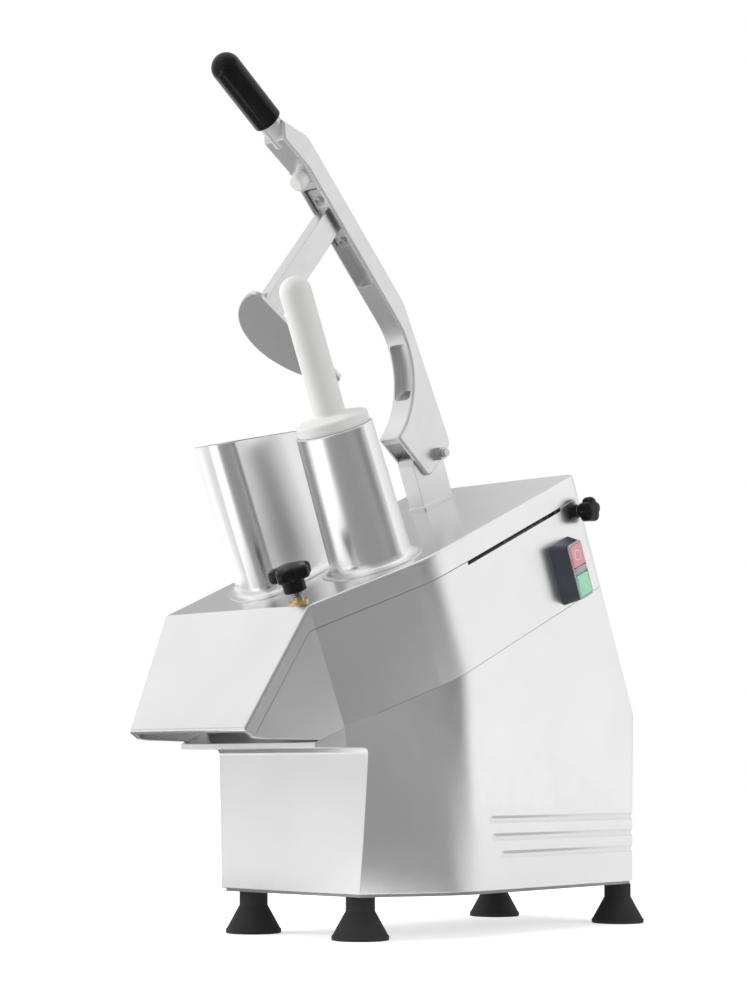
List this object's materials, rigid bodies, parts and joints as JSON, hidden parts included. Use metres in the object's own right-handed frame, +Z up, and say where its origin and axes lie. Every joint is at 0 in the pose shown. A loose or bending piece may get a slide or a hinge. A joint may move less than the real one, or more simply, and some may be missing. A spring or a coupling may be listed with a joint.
{
  "type": "vegetable cutter",
  "caption": "Countertop electric vegetable cutter with tilted hinged head, D-shaped and round feed chutes, white pusher and a raised lever with half-moon presser.",
  "frame": {"origin": "on the floor under the feet, below the middle of the whole machine seen from above", "axes": "+Z up, -Y towards the discharge side, +X towards the switch and the round chute"},
  "size_m": [0.2442, 0.5342, 0.8195],
  "materials": {
    "cast_aluminium": "satin cast aluminium",
    "polished_aluminium": "brushed and polished aluminium",
    "lever_aluminium": "fine blasted cast aluminium",
    "steel": "bright steel",
    "disc_aluminium": "turned aluminium",
    "white_nylon": "white nylon",
    "black_plastic": "glossy black plastic",
    "foot_rubber": "black rubber",
    "brass": "turned brass",
    "motor_paint": "dark paint",
    "switch_grey": "dark blue-grey plastic",
    "switch_frame": "pale grey glossy plastic",
    "red": "red translucent plastic",
    "green": "green translucent plastic"
  },
  "bodies": {
    "frame": {"base_housing": "cast_aluminium", "head_housing": "cast_aluminium", "bottom_plate": "cast_aluminium", "foot_front_left": "foot_rubber", "foot_front_right": "foot_rubber", "foot_rear_left": "foot_rubber", "foot_rear_right": "foot_rubber", "foot_screws": "steel", "cable_gland": "black_plastic", "switch_body": "switch_grey", "switch_frame": "switch_frame", "bearing_upper": "steel", "bearing_lower": "steel", "motor_plate": "steel", "motor_screws": "steel", "motor_body": "motor_paint", "drive_belt": "foot_rubber"},
    "stop_button": {"button_stop": "red"},
    "start_button": {"button_start": "green"},
    "spindle": {"spindle": "steel", "spindle_pulley": "disc_aluminium", "ejector_disc": "white_nylon", "slicing_disc": "disc_aluminium", "slicing_blades": "steel"},
    "rotor": {"motor_shaft": "steel", "motor_pulley": "steel"},
    "hinge_pin": {"hinge_pin": "steel", "hinge_knob": "black_plastic"},
    "cover": {"cover": "cast_aluminium", "d_chute": "polished_aluminium", "round_chute": "polished_aluminium", "lever_post": "lever_aluminium", "lock_bush": "brass", "lock_spring": "steel"},
    "lock": {"lock_knob": "black_plastic", "lock_stud": "steel"},
    "pusher": {"pusher": "white_nylon"},
    "lever": {"lever_arm": "lever_aluminium", "lever_grip": "black_plastic", "lever_bumper": "white_nylon", "presser": "lever_aluminium", "presser_screws": "steel", "pivot_bolt": "steel", "pivot_nut": "steel"}
  },
  "joints": [
    {"name": "cover_hinge", "type": "hinge", "parent": "frame", "child": "cover", "pos_m": [-0.02857, 0.14042, 0.41335], "axis": [1, 0, 0], "range_deg": [-60, 0]},
    {"name": "lever_pivot", "type": "hinge", "parent": "cover", "child": "lever", "pos_m": [-0.04057, 0.07678, 0.47695], "axis": [1, 0, 0], "range_deg": [0, 55]},
    {"name": "pusher_slide", "type": "slide", "parent": "cover", "child": "pusher", "axis": [0, -0.3987, 0.9171], "range_m": [0, 0.15]},
    {"name": "lock_turn", "type": "hinge", "parent": "cover", "child": "lock", "pos_m": [0.04443, -0.20114, 0.30409], "axis": [0, -0.3987, 0.9171], "continuous": true},
    {"name": "hinge_pin_turn", "type": "hinge", "parent": "frame", "child": "hinge_pin", "pos_m": [-0.02857, 0.14042, 0.41335], "axis": [1, 0, 0], "continuous": true},
    {"name": "spindle_spin", "type": "hinge", "parent": "frame", "child": "spindle", "pos_m": [-0.00557, -0.08651, 0.35393], "axis": [0, -0.3987, 0.9171], "continuous": true},
    {"name": "rotor_spin", "type": "hinge", "parent": "frame", "child": "rotor", "pos_m": [-0.00557, 0.03638, 0.40736], "axis": [0, -0.3987, 0.9171], "continuous": true},
    {"name": "stop_press", "type": "slide", "parent": "frame", "child": "stop_button", "axis": [-0.9996, -0.0246, -0.0107], "range_m": [0, 0.0025], "stiffness_N_per_m": 400, "springref_m": -0.002},
    {"name": "start_press", "type": "slide", "parent": "frame", "child": "start_button", "axis": [-0.9996, -0.0246, -0.0107], "range_m": [0, 0.0025], "stiffness_N_per_m": 400, "springref_m": -0.002}
  ],
  "couplings": [
    {"joint": "rotor_spin", "follows": "spindle_spin", "ratio": 3.2273}
  ]
}
